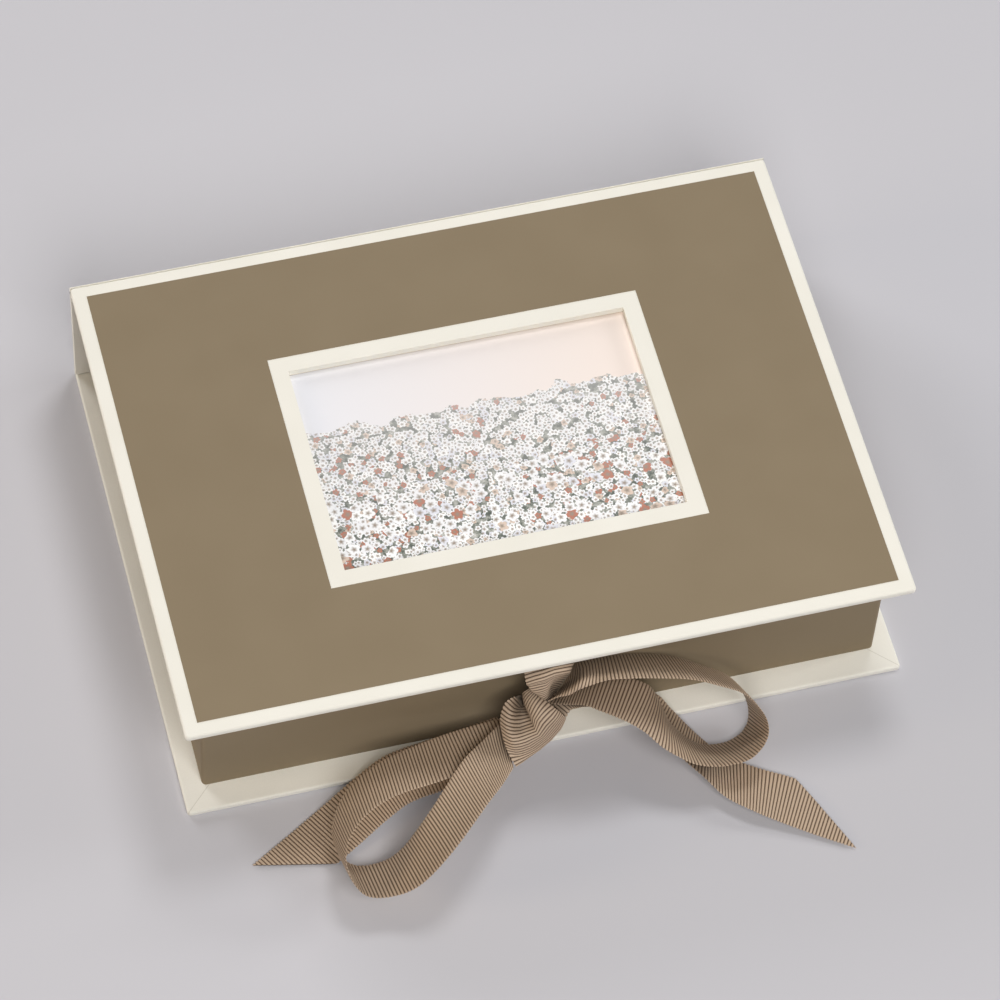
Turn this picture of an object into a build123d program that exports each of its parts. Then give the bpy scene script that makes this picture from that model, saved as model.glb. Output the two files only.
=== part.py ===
"""Photo storage box: a hard-cover case of three boards round a tray, with a picture window in
the lid and a ribbon tied in a bow at the front.

Frame: origin at the centre of the case's footprint on the table, +Z up, +Y towards the spine,
the bow at -Y. Millimetres.
"""

from build123d import *
from math import cos, radians, sin
import os

os.makedirs("parts", exist_ok=True)

# ---------------------------------------------------------------- driving dimensions
case_width = 265.0            # along X
case_depth = 195.0            # along Y, from the front edge to the outside of the spine
case_height = 56.0            # table to the top of the lid's cover paper
case_board = 2.2              # grey board of the lid, the spine and the base
paper = 0.2                   # cover papers and linings
corner_radius = 1.4           # corners of the covered boards, seen from above
edge_round = 0.8              # the same boards' edges, seen from the side

hinge_gap = 0.5               # between the spine board's edges and the two covers
hinge_clearance = 0.15        # between a cover's back edge and the paper that bends round it
tray_front_inset = 10.0       # ledge in front of the tray
tray_side_inset = 7.5         # ledge at each side of the tray
tray_spine_clearance = 0.3
tray_board = 2.0
tray_corner_radius = 1.8
ribbon_rim_clearance = 0.2    # between the tray's rim and the ribbon under the lid
rim_turn_in = 12.0            # wrap paper turned down inside the rim
cover_turn_in = 15.0          # cover paper turned over onto a board's inner face
window_turn_in = 5.0          # the same round the window

window_width = 126.0
window_depth = 87.0
frame_band = 6.4              # cream left showing round the window
panel_margin = 5.3            # cream left showing round the taupe panel
panel_thickness = 0.15
lining_margin = 14.0          # lid lining, in from the lid's edges

print_width = 127.0           # a 9 x 13 cm print
print_depth = 89.0
print_thickness = 0.25
print_side_clearance = 0.5    # on each side of the print in its pocket
pocket_height = 0.6           # thickness of the spacer strips
pocket_rim = 9.0              # width of the spacer strips
backing_thickness = 0.8

ribbon_width = 20.0
ribbon_thickness = 0.6
ribbon_held_length = 20.0     # behind the edge of the lid's lining, and under the tray
lid_ribbon_middle = -0.3      # X of the ribbon that leaves the lid
base_ribbon_middle = -6.0     # X of the ribbon that leaves the tray's foot
knot_thickness = 13.0
knot_clearance = 0.9          # between the knot and the ribbon that comes down from the lid
knot_round = 3.0

# ---------------------------------------------------------------- worked-out sizes and places
cover_thickness = case_board + 2 * paper
front = -case_depth / 2
back = case_depth / 2                                  # outside of the spine, and both hinge axes
side = case_width / 2
cover_back = back - paper - hinge_clearance            # back edge of the lid and of the base
cover_depth = cover_back - front
cover_centre = (cover_back + front) / 2

lid_top = case_height
lid_bottom = case_height - cover_thickness
base_top = cover_thickness

spine_low = base_top + hinge_gap
spine_high = lid_bottom - hinge_gap
spine_inside = back - 2 * paper - case_board

tray_left = -side + tray_side_inset
tray_right = side - tray_side_inset
tray_front = front + tray_front_inset
tray_back = spine_inside - tray_spine_clearance
tray_top = lid_bottom - ribbon_thickness - ribbon_rim_clearance
tray_width = tray_right - tray_left
tray_depth = tray_back - tray_front
tray_centre = (tray_front + tray_back) / 2
wall_high = tray_top - paper
wall_low = base_top
tray_floor = wall_low + tray_board
turn_in_low = tray_top - rim_turn_in

lining_low = lid_bottom - paper                        # under face of the lid's lining
lining_front = front + lining_margin
bow_scale = ribbon_width / 20                          # the bow's routes are for a 20 mm ribbon
pocket_low = lining_low - pocket_height
print_low = lining_low - (pocket_height + print_thickness) / 2
pocket_width = print_width + 2 * print_side_clearance
pocket_depth = print_depth + 2 * print_side_clearance


# ---------------------------------------------------------------- the lid
with BuildPart() as lid_board:
    with BuildSketch(Plane.XY.offset(lid_bottom + paper)):
        with Locations((0, cover_centre)):
            RectangleRounded(case_width - 2 * paper, cover_depth - 2 * paper, corner_radius - paper)
    extrude(amount=case_board)
    fillet(lid_board.faces().filter_by(Axis.Z).edges(), edge_round - paper)
    with BuildSketch(Plane.XY.offset(lid_bottom + paper)):
        Rectangle(window_width + 2 * paper, window_depth + 2 * paper)
    extrude(amount=case_board, mode=Mode.SUBTRACT)
lid_board.part.label = "lid_board"

with BuildPart() as lid_cover_paper:
    with BuildSketch(Plane.XY.offset(lid_bottom)):
        with Locations((0, cover_centre)):
            RectangleRounded(case_width, cover_depth, corner_radius)
    extrude(amount=cover_thickness)
    fillet(lid_cover_paper.faces().filter_by(Axis.Z).edges(), edge_round)
    with BuildSketch(Plane.XY.offset(lid_bottom)):
        Rectangle(window_width, window_depth)
    extrude(amount=cover_thickness, mode=Mode.SUBTRACT)
    add(lid_board.part, mode=Mode.SUBTRACT)
    with BuildSketch(Plane.XY.offset(lid_bottom)):     # the bare board between the turned-in edges
        with Locations((0, cover_centre)):
            Rectangle(case_width - 2 * cover_turn_in, cover_depth - 2 * cover_turn_in)
        Rectangle(
            window_width + 2 * window_turn_in, window_depth + 2 * window_turn_in, mode=Mode.SUBTRACT
        )
    extrude(amount=paper, mode=Mode.SUBTRACT)
lid_cover_paper.part.label = "lid_cover_paper"

with BuildPart() as lid_panel:
    with BuildSketch(Plane.XY.offset(lid_top)):
        Rectangle(case_width - 2 * panel_margin, case_depth - 2 * panel_margin)
        Rectangle(window_width + 2 * frame_band, window_depth + 2 * frame_band, mode=Mode.SUBTRACT)
    extrude(amount=panel_thickness)
lid_panel.part.label = "lid_panel"

with BuildPart() as lid_lining:
    with BuildSketch(Plane.XY.offset(lining_low)):
        with Locations((0, cover_centre)):
            Rectangle(case_width - 2 * lining_margin, cover_depth - 2 * lining_margin)
        Rectangle(window_width, window_depth, mode=Mode.SUBTRACT)
    extrude(amount=paper)
    with BuildSketch(Plane.XY.offset(lining_low - ribbon_thickness)):   # raised over the ribbon
        with Locations((lid_ribbon_middle, lining_front + ribbon_held_length / 2)):
            Rectangle(ribbon_width + 4 * paper, ribbon_held_length)
    extrude(amount=ribbon_thickness + paper)
    with BuildSketch(Plane.XY.offset(lid_bottom - ribbon_thickness)):
        with Locations((lid_ribbon_middle, lining_front + (ribbon_held_length - paper) / 2)):
            Rectangle(ribbon_width, ribbon_held_length - paper)
    extrude(amount=ribbon_thickness, mode=Mode.SUBTRACT)
lid_lining.part.label = "lid_lining"

with BuildPart() as pocket_spacer:                     # three strips, open towards +X
    with BuildSketch(Plane.XY.offset(pocket_low)):
        Rectangle(pocket_width + 2 * pocket_rim, pocket_depth + 2 * pocket_rim)
        with Locations((pocket_rim / 2, 0)):
            Rectangle(pocket_width + pocket_rim, pocket_depth, mode=Mode.SUBTRACT)
    extrude(amount=pocket_height)
pocket_spacer.part.label = "pocket_spacer"

with BuildPart() as pocket_backing:
    with BuildSketch(Plane.XY.offset(pocket_low - backing_thickness)):
        RectangleRounded(
            pocket_width + 2 * pocket_rim, pocket_depth + 2 * pocket_rim, 2 * corner_radius
        )
        with Locations((pocket_width / 2 + pocket_rim, 0)):     # thumb notch at the open end
            Circle(pocket_rim, mode=Mode.SUBTRACT)
    extrude(amount=backing_thickness)
pocket_backing.part.label = "pocket_backing"

with BuildPart() as photo_print:
    with BuildSketch(Plane.XY.offset(print_low)):
        Rectangle(print_width, print_depth)
    extrude(amount=print_thickness)
photo_print.part.label = "photo_print"

# ---------------------------------------------------------------- the spine and its two folds
with BuildPart() as spine_board:
    with BuildSketch(Plane.XY.offset(spine_low)):
        with Locations((0, back - paper - case_board / 2)):
            Rectangle(case_width - 2 * paper, case_board)
    extrude(amount=spine_high - spine_low)
spine_board.part.label = "spine_board"

with BuildPart() as spine_cover_paper:                 # outside, and turned over both ends
    with BuildSketch(Plane.XY.offset(spine_low)):
        with Locations((0, back - (paper + case_board) / 2)):
            Rectangle(case_width, paper + case_board)
    extrude(amount=spine_high - spine_low)
    add(spine_board.part, mode=Mode.SUBTRACT)
spine_cover_paper.part.label = "spine_cover_paper"

with BuildPart() as spine_lining:
    with BuildSketch(Plane.XY.offset(spine_low)):
        with Locations((0, spine_inside + paper / 2)):
            Rectangle(case_width, paper)
    extrude(amount=spine_high - spine_low)
spine_lining.part.label = "spine_lining"

with BuildPart() as base_hinge_strip:
    with BuildSketch():
        with Locations((0, back - paper / 2)):
            Rectangle(case_width, paper)
    extrude(amount=spine_low)
base_hinge_strip.part.label = "base_hinge_strip"

with BuildPart() as lid_hinge_strip:
    with BuildSketch(Plane.XY.offset(spine_high)):
        with Locations((0, back - paper / 2)):
            Rectangle(case_width, paper)
    extrude(amount=lid_top - spine_high)
lid_hinge_strip.part.label = "lid_hinge_strip"

# ---------------------------------------------------------------- the base
with BuildPart() as base_board:
    with BuildSketch(Plane.XY.offset(paper)):
        with Locations((0, cover_centre)):
            RectangleRounded(case_width - 2 * paper, cover_depth - 2 * paper, corner_radius - paper)
    extrude(amount=case_board)
    fillet(base_board.faces().filter_by(Axis.Z).edges(), edge_round - paper)
base_board.part.label = "base_board"

with BuildPart() as base_cover_paper:
    with BuildSketch():
        with Locations((0, cover_centre)):
            RectangleRounded(case_width, cover_depth, corner_radius)
    extrude(amount=cover_thickness)
    fillet(base_cover_paper.faces().filter_by(Axis.Z).edges(), edge_round)
    add(base_board.part, mode=Mode.SUBTRACT)
    with BuildSketch(Plane.XY.offset(base_top - paper)):
        with Locations((0, cover_centre)):
            Rectangle(case_width - 2 * cover_turn_in, cover_depth - 2 * cover_turn_in)
    extrude(amount=paper, mode=Mode.SUBTRACT)
base_cover_paper.part.label = "base_cover_paper"

# ---------------------------------------------------------------- the tray
with BuildPart() as ribbon_groove:                     # what the ribbon presses into under the tray
    with BuildSketch(Plane.XY.offset(base_top)):
        with Locations((base_ribbon_middle, tray_front + ribbon_held_length / 2)):
            Rectangle(ribbon_width, ribbon_held_length)
    extrude(amount=ribbon_thickness)

with BuildPart() as tray_bottom:
    with BuildSketch(Plane.XY.offset(wall_low)):
        with Locations((0, tray_centre)):
            Rectangle(
                tray_width - 2 * (paper + tray_board), tray_depth - 2 * (paper + tray_board)
            )
    extrude(amount=tray_board)
    add(ribbon_groove.part, mode=Mode.SUBTRACT)
tray_bottom.part.label = "tray_bottom"

with BuildPart() as tray_front_wall:
    with BuildSketch(Plane.XY.offset(wall_low)):
        with Locations((0, tray_front + paper + tray_board / 2)):
            Rectangle(tray_width - 2 * paper, tray_board)
    extrude(amount=wall_high - wall_low)
    fillet(
        tray_front_wall.edges().filter_by(Axis.Z).group_by(Axis.Y)[0],
        min(tray_corner_radius - paper, 0.9 * tray_board),
    )
    add(ribbon_groove.part, mode=Mode.SUBTRACT)
tray_front_wall.part.label = "tray_front_wall"

with BuildPart() as tray_back_wall:
    with BuildSketch(Plane.XY.offset(wall_low)):
        with Locations((0, tray_back - paper - tray_board / 2)):
            Rectangle(tray_width - 2 * paper, tray_board)
    extrude(amount=wall_high - wall_low)
    fillet(
        tray_back_wall.edges().filter_by(Axis.Z).group_by(Axis.Y)[-1],
        min(tray_corner_radius - paper, 0.9 * tray_board),
    )
tray_back_wall.part.label = "tray_back_wall"

with BuildPart() as tray_left_wall:
    with BuildSketch(Plane.XY.offset(wall_low)):
        with Locations((tray_left + paper + tray_board / 2, tray_centre)):
            Rectangle(tray_board, tray_depth - 2 * (paper + tray_board))
    extrude(amount=wall_high - wall_low)
tray_left_wall.part.label = "tray_left_wall"

with BuildPart() as tray_right_wall:
    with BuildSketch(Plane.XY.offset(wall_low)):
        with Locations((tray_right - paper - tray_board / 2, tray_centre)):
            Rectangle(tray_board, tray_depth - 2 * (paper + tray_board))
    extrude(amount=wall_high - wall_low)
tray_right_wall.part.label = "tray_right_wall"

with BuildPart() as tray_wrap:                         # outside, over the rim and turned down inside
    with BuildSketch(Plane.XY.offset(wall_low)):
        with Locations((0, tray_centre)):
            RectangleRounded(tray_width, tray_depth, tray_corner_radius)
            RectangleRounded(
                tray_width - 2 * paper,
                tray_depth - 2 * paper,
                tray_corner_radius - paper,
                mode=Mode.SUBTRACT,
            )
    extrude(amount=tray_top - wall_low)
    with BuildSketch(Plane.XY.offset(turn_in_low)):
        with Locations((0, tray_centre)):
            Rectangle(
                tray_width - 2 * (paper + tray_board), tray_depth - 2 * (paper + tray_board)
            )
            Rectangle(
                tray_width - 2 * (2 * paper + tray_board),
                tray_depth - 2 * (2 * paper + tray_board),
                mode=Mode.SUBTRACT,
            )
    extrude(amount=tray_top - turn_in_low)
    with BuildSketch(Plane.XY.offset(wall_high)):
        with Locations((0, tray_centre)):
            RectangleRounded(tray_width, tray_depth, tray_corner_radius)
            Rectangle(
                tray_width - 2 * (2 * paper + tray_board),
                tray_depth - 2 * (2 * paper + tray_board),
                mode=Mode.SUBTRACT,
            )
    extrude(amount=paper)
    add(ribbon_groove.part, mode=Mode.SUBTRACT)
tray_wrap.part.label = "tray_wrap"

with BuildPart() as tray_lining:                       # floor and walls, up to the turned-in paper
    with BuildSketch(Plane.XY.offset(tray_floor)):
        with Locations((0, tray_centre)):
            Rectangle(
                tray_width - 2 * (paper + tray_board), tray_depth - 2 * (paper + tray_board)
            )
    extrude(amount=turn_in_low - tray_floor)
    with BuildSketch(Plane.XY.offset(tray_floor + paper)):
        with Locations((0, tray_centre)):
            Rectangle(
                tray_width - 2 * (2 * paper + tray_board),
                tray_depth - 2 * (2 * paper + tray_board),
            )
    extrude(amount=turn_in_low - tray_floor - paper, mode=Mode.SUBTRACT)
tray_lining.part.label = "tray_lining"

# ---------------------------------------------------------------- the ribbon
# A station of a ribbon is its middle, then how its width lies: turn, in degrees to the left as
# seen from above, of the direction from its front edge to its back edge, and dip, in degrees
# below the level, of the same direction. The bow's stations are drawn for a 20 mm ribbon, and
# give X, the distance in front of the case and the height above the table.
def bow_point(x, ahead, high):
    """A point of the bow, drawn for a 20 mm ribbon, in its place in front of the case."""
    return (bow_scale * x, front - bow_scale * ahead, bow_scale * high)


def bow_route(route):
    """The stations of a run of the bow in their places."""
    return [(*bow_point(x, ahead, high), turn, dip) for x, ahead, high, turn, dip in route]


def width_direction(turn, dip):
    """Unit vector from a ribbon's front edge to its back edge."""
    return Vector(
        -sin(radians(turn)) * cos(radians(dip)),
        cos(radians(turn)) * cos(radians(dip)),
        -sin(radians(dip)),
    )


def halfway(route):
    """The same route with a smooth station put in between each pair of neighbours."""
    full = [route[0]]
    for place in range(len(route) - 1):
        start, end = route[place], route[place + 1]
        before = route[place - 1] if place > 0 else start
        after = route[place + 2] if place + 2 < len(route) else end
        full.append(
            tuple((9 * (a + b) - c - d) / 16 for a, b, c, d in zip(start, end, before, after))
        )
        full.append(end)
    return full


def ribbon_planes(route):
    """One plane across the ribbon at each station, its x along the ribbon's width."""
    middles = [Vector(x, y, z) for x, y, z, turn, dip in route]
    planes = []
    for place, (x, y, z, turn, dip) in enumerate(route):
        along = middles[min(place + 1, len(middles) - 1)] - middles[max(place - 1, 0)]
        across = width_direction(turn, dip)
        planes.append(
            Plane(origin=(x, y, z), x_dir=across, z_dir=along - across * along.dot(across))
        )
    return planes


with BuildPart() as bow_knot:
    knot_outline = [(-12, 4), (-6, 9.5), (2, 11), (9, 7), (12.5, 1), (5, -7), (-6.5, -13), (-12, -5)]
    knot_plane = Plane(origin=bow_point(-8, 7, 29), x_dir=(1, 0, 0), z_dir=(0, -0.8, 0.6))
    with BuildSketch(knot_plane.offset(-knot_thickness / 2)):
        Polygon([(bow_scale * u, bow_scale * v) for u, v in knot_outline], align=None)
    extrude(amount=knot_thickness)
    fillet(bow_knot.faces().filter_by(knot_plane).edges(), knot_round)
bow_knot.part.label = "bow_knot"

with BuildPart() as lid_ribbon:                        # from under the lid's lining to the knot
    ribbon_high = lid_bottom - ribbon_thickness / 2
    leaves_tray = tray_front - 1
    knot_top = bow_knot.part.bounding_box().max.Z
    end_x = lid_ribbon_middle - 3.6 * bow_scale
    end_y = front - 0.4 * bow_scale
    drop = ribbon_high - knot_top - knot_clearance
    reach = leaves_tray - end_y
    lid_ribbon_route = [
        (lid_ribbon_middle, leaves_tray, ribbon_high, -90, 0),
        (lid_ribbon_middle, leaves_tray - 0.27 * reach, ribbon_high - 0.04 * drop, -90, 0),
        (lid_ribbon_middle, leaves_tray - 0.51 * reach, ribbon_high - 0.18 * drop, -90, 0),
        (lid_ribbon_middle, leaves_tray - 0.67 * reach, ribbon_high - 0.37 * drop, -90, 0),
        ((lid_ribbon_middle + end_x) / 2, leaves_tray - 0.85 * reach, ribbon_high - 0.7 * drop, -90, 0),
        (end_x, end_y, ribbon_high - drop, -90, 0),
    ]
    with BuildSketch(Plane.XY.offset(lid_bottom - ribbon_thickness)):
        held_back = lining_front + ribbon_held_length - paper
        with Locations((lid_ribbon_middle, (leaves_tray + held_back) / 2)):
            Rectangle(ribbon_width, held_back - leaves_tray)
    extrude(amount=ribbon_thickness)
    for plane in ribbon_planes(lid_ribbon_route):
        with BuildSketch(plane):
            Rectangle(ribbon_width, ribbon_thickness)
    loft(ruled=True)
lid_ribbon.part.label = "lid_ribbon"

with BuildPart() as base_ribbon:                       # from under the tray to the knot
    ribbon_low = base_top + ribbon_thickness / 2
    rise = 21 * bow_scale - ribbon_low
    base_ribbon_route = [
        (base_ribbon_middle, tray_front, ribbon_low, -90, 0),
        (base_ribbon_middle, front + 0.7 * tray_front_inset, ribbon_low, -90, 0),
        (base_ribbon_middle, front + 0.45 * tray_front_inset, ribbon_low + 0.07 * rise, -90, 0),
        (base_ribbon_middle, front + 0.28 * tray_front_inset, ribbon_low + 0.22 * rise, -90, 0),
        (base_ribbon_middle, front + 0.1 * tray_front_inset, ribbon_low + 0.5 * rise, -90, 0),
        (base_ribbon_middle, front - 1.5 * bow_scale, ribbon_low + 0.78 * rise, -90, 0),
        (base_ribbon_middle, front - 6.5 * bow_scale, ribbon_low + rise, -90, 0),
    ]
    for plane in ribbon_planes(base_ribbon_route):
        with BuildSketch(plane):
            Rectangle(ribbon_width, ribbon_thickness)
    loft(ruled=True)
    add(ribbon_groove.part)
    add(bow_knot.part, mode=Mode.SUBTRACT)
base_ribbon.part.label = "base_ribbon"

with BuildPart() as bow_left_loop:
    left_loop_route = [
        (-16.8, 6.2, 20.4, 0, 12),
        (-32.5, 8, 22, 5, 14),
        (-47, 10, 22, 0, 15),
        (-64, 14.5, 24.5, -2, 21),
        (-77, 21, 23.5, 0, 25),
        (-84.5, 29.5, 18.5, 2, 30),
        (-85, 37, 13, 3, 30),
        (-80.5, 43.5, 9.5, 2, 27),
        (-71, 45.2, 9.3, 3, 24),
        (-62, 45, 15, 8, 20),
        (-50, 39, 25, 12, 14),
        (-35.2, 25.5, 28.5, 12, 6),
        (-25.5, 17.2, 26.2, 8, 4),
        (-16.5, 9.7, 23.5, 5, 0),
    ]
    for plane in ribbon_planes(halfway(bow_route(left_loop_route))):
        with BuildSketch(plane):
            Rectangle(ribbon_width, ribbon_thickness)
    loft(ruled=True)
    add(bow_knot.part, mode=Mode.SUBTRACT)
bow_left_loop.part.label = "bow_left_loop"

with BuildPart() as bow_right_loop:
    right_loop_route = [
        (0.5, 3.5, 33, -8, 46),
        (5, 1, 37.5, -16, 40),
        (10, -1.3, 41.3, -20, 35),
        (19, -1.2, 43.2, -12, 35),
        (27, -0.6, 42.5, -7, 34),
        (37, 0.1, 40, -1, 33),
        (47.5, 1.7, 37, 3, 34),
        (57.5, 3.8, 31.3, 6, 35),
        (66, 5.4, 25, 5, 37),
        (71, 8.6, 18.9, 5, 38),
        (73.5, 12, 13.5, 7, 39),
        (73, 16.3, 9.9, 8, 41),
        (69.2, 21, 9.8, 9, 41),
        (63.2, 23.8, 9.4, 12, 38),
        (55.7, 23.8, 9.4, 11, 35),
        (50.2, 22.7, 10.6, 6, 31),
        (45.1, 20.7, 13.2, -2, 26),
        (40, 17.6, 17.4, -10, 23),
        (37, 14, 20.3, -19, 18),
        (34, 10, 23.5, -29, 18),
        (30.3, 6.8, 26.9, -34, 12),
        (24.3, 3.3, 28.6, -31, 14),
        (18.8, 0.1, 28.7, -30, 19),
        (13.2, -1.2, 27.6, -28, 28),
        (8.5, -0.8, 27, -22, 36),
        (2, 3.6, 26.5, -8, 42),
    ]
    for plane in ribbon_planes(halfway(bow_route(right_loop_route))):
        with BuildSketch(plane):
            Rectangle(ribbon_width, ribbon_thickness)
    loft(ruled=True)
    add(bow_knot.part, mode=Mode.SUBTRACT)
bow_right_loop.part.label = "bow_right_loop"

with BuildPart() as bow_left_tail:
    left_tail_route = [
        (-17.5, 4.3, 18.2, 5, 10),
        (-29.5, 4.5, 13.5, 5, 2),
        (-43.5, 4, 8, 8, -5),
        (-57, 5, 5.5, 14, -5),
        (-68, 9.5, 3.4, 22, -1),
        (-79, 15.5, 1.6, 29, 1),
        (-92, 23, 0.9, 30, 1),
        (-118, 38, 0.7, 30, 0),
    ]
    left_cut = Plane(origin=bow_point(-114.2, 24.6, 0), z_dir=(-0.2, -0.98, 0))
    for plane in ribbon_planes(halfway(bow_route(left_tail_route))):
        with BuildSketch(plane):
            Rectangle(ribbon_width, ribbon_thickness)
    loft(ruled=True)
    add(bow_knot.part, mode=Mode.SUBTRACT)
    split(bisect_by=left_cut, keep=Keep.BOTTOM)
bow_left_tail.part.label = "bow_left_tail"

with BuildPart() as bow_right_tail:
    right_tail_route = [
        (1, 1.2, 20, -5, 50),
        (10, -3.8, 18.2, -20, 57),
        (20, -3, 16, -20, 50),
        (29, -2, 14.5, -27, 40),
        (36, 0.4, 13, -35, 30),
        (41, 7.2, 10.5, -33, 30),
        (46.8, 15, 6.4, -28, 27),
        (51.8, 21.6, 4.3, -20, 22),
        (57, 29.5, 3.5, -14, 13),
        (66, 37, 3.4, -19, 10),
        (76, 43.2, 2.3, -28, 6),
        (88, 50.8, 1.3, -32, 3),
        (104, 60.9, 0.8, -32, 0),
    ]
    right_cut = Plane(origin=bow_point(95.2, 67.2, 0), z_dir=(0.925, 0.379, 0))
    for plane in ribbon_planes(halfway(bow_route(right_tail_route))):
        with BuildSketch(plane):
            Rectangle(ribbon_width, ribbon_thickness)
    loft(ruled=True)
    add(bow_knot.part, mode=Mode.SUBTRACT)
    split(bisect_by=right_cut, keep=Keep.BOTTOM)
bow_right_tail.part.label = "bow_right_tail"

pieces = [
    lid_board, lid_cover_paper, lid_panel, lid_lining, pocket_spacer, pocket_backing, photo_print,
    lid_hinge_strip, spine_board, spine_cover_paper, spine_lining, base_hinge_strip,
    base_board, base_cover_paper,
    tray_bottom, tray_front_wall, tray_back_wall, tray_left_wall, tray_right_wall,
    tray_wrap, tray_lining,
    lid_ribbon, base_ribbon, bow_knot,
    bow_left_loop, bow_right_loop, bow_left_tail, bow_right_tail,
]
for piece in pieces:
    export_step(piece.part, f"parts/{piece.part.label}.step")
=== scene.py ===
# A photo storage box with a picture window, closed by a ribbon bow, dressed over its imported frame.
import bmesh
import bpy
import math
import numpy as np
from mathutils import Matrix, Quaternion, Vector


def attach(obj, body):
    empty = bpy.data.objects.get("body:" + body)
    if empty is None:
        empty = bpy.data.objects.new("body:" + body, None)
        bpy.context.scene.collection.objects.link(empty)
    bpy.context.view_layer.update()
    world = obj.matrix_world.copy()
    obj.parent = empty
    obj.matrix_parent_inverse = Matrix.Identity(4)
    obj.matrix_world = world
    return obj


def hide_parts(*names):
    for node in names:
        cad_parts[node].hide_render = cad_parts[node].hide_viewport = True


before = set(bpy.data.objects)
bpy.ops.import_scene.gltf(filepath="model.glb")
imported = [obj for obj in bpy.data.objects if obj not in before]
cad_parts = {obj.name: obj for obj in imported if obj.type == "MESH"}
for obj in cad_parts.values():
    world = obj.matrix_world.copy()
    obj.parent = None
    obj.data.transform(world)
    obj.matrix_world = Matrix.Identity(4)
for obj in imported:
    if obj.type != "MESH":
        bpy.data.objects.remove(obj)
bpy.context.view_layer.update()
mm = 0.001


def linear(hexColour):
    # an sRGB hex colour as linear red, green, blue and alpha
    channels = [int(hexColour[place:place + 2], 16) / 255 for place in (1, 3, 5)]
    lit = [c / 12.92 if c <= 0.04045 else ((c + 0.055) / 1.055) ** 2.4 for c in channels]
    return (*lit, 1.0)


def addNode(tree, kind, inputs=None, **settings):
    # one node with its settings; an input is given a value, or linked from a node's first output
    # or from an output that is named
    made = tree.nodes.new(kind)
    for name, value in settings.items():
        setattr(made, name, value)
    for key, value in (inputs or {}).items():
        if isinstance(value, bpy.types.Node):
            value = value.outputs[0]
        if isinstance(value, bpy.types.NodeSocket):
            tree.links.new(value, made.inputs[key])
        else:
            made.inputs[key].default_value = value
    return made


def blankMaterial(name, **shaderValues):
    # a material with only a Principled shader on its output
    material = bpy.data.materials.new(name)
    material.use_nodes = True
    tree = material.node_tree
    tree.nodes.clear()
    shader = addNode(tree, "ShaderNodeBsdfPrincipled", shaderValues)
    addNode(tree, "ShaderNodeOutputMaterial", {0: shader})
    return material, tree, shader


def colourSteps(ramp, steps, interpolation="LINEAR"):
    # the stops of a colour ramp, as pairs of place and hex colour
    ramp.color_ramp.interpolation = interpolation
    elements = ramp.color_ramp.elements
    while len(elements) < len(steps):
        elements.new(0.5)
    for element, (place, hexColour) in zip(elements, steps):
        element.position = place
        element.color = linear(hexColour)


def dress(nodeNames, material):
    # a finish for CAD nodes whose shape is right
    for name in nodeNames:
        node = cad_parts[name]
        node.data.materials.clear()
        node.data.materials.append(material)


def gridMesh(name, points):
    # a mesh from a grid of points, rows along the piece; each row closes into a ring, and the
    # first and last rings are filled by one face each
    rows, across = points.shape[:2]
    index = np.arange(rows * across).reshape(rows, across)
    nextAcross = np.roll(index, -1, axis=1)
    quads = np.stack([index[:-1], nextAcross[:-1], nextAcross[1:], index[1:]], axis=-1)
    faces = quads.reshape(-1, 4).tolist() + [index[0, ::-1].tolist(), index[-1].tolist()]
    mesh = bpy.data.meshes.new(name)
    mesh.from_pydata(points.reshape(-1, 3).tolist(), [], faces)
    mesh.polygons.foreach_set("use_smooth", np.ones(len(mesh.polygons), bool))
    mesh.update()
    made = bpy.data.objects.new(name, mesh)
    bpy.context.scene.collection.objects.link(made)
    return made


# the camera, the floor and the lamps

view = {
    "lensMm": 173.68,
    "sensorMm": 36,
    "placeMm": (-290.75, -911.75, 1505.42),
    "aimMm": (-2.26, -27.85, 56.61),
    "rollDegrees": 4.17,
    "reach": 20,                # how far the camera sees, in metres
}
cameraData = bpy.data.cameras.new("camera")
cameraData.lens = view["lensMm"]
cameraData.sensor_width = view["sensorMm"]
cameraData.clip_end = view["reach"]
camera = bpy.data.objects.new("camera", cameraData)
place = Vector(view["placeMm"]) * mm
aim = Vector(view["aimMm"]) * mm
roll = Quaternion((0, 0, 1), math.radians(view["rollDegrees"]))
camera.location = place
camera.rotation_mode = "QUATERNION"
camera.rotation_quaternion = (aim - place).to_track_quat("-Z", "Y") @ roll
bpy.context.scene.collection.objects.link(camera)
bpy.context.scene.camera = camera

floor = {"halfSize": 3.0, "colour": "#CBCACF", "roughness": 0.95, "specular": 0.1}
half = floor["halfSize"]
corners = [(-half, -half, 0), (half, -half, 0), (half, half, 0), (-half, half, 0)]
floorMesh = bpy.data.meshes.new("floor")
floorMesh.from_pydata(corners, [], [(0, 1, 2, 3)])
floorPiece = bpy.data.objects.new("floor", floorMesh)
bpy.context.scene.collection.objects.link(floorPiece)
floorMaterial, tree, shader = blankMaterial("paper_backdrop", Roughness=floor["roughness"])
shader.inputs["Base Color"].default_value = linear(floor["colour"])
shader.inputs["Specular IOR Level"].default_value = floor["specular"]
floorMesh.materials.append(floorMaterial)

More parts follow.
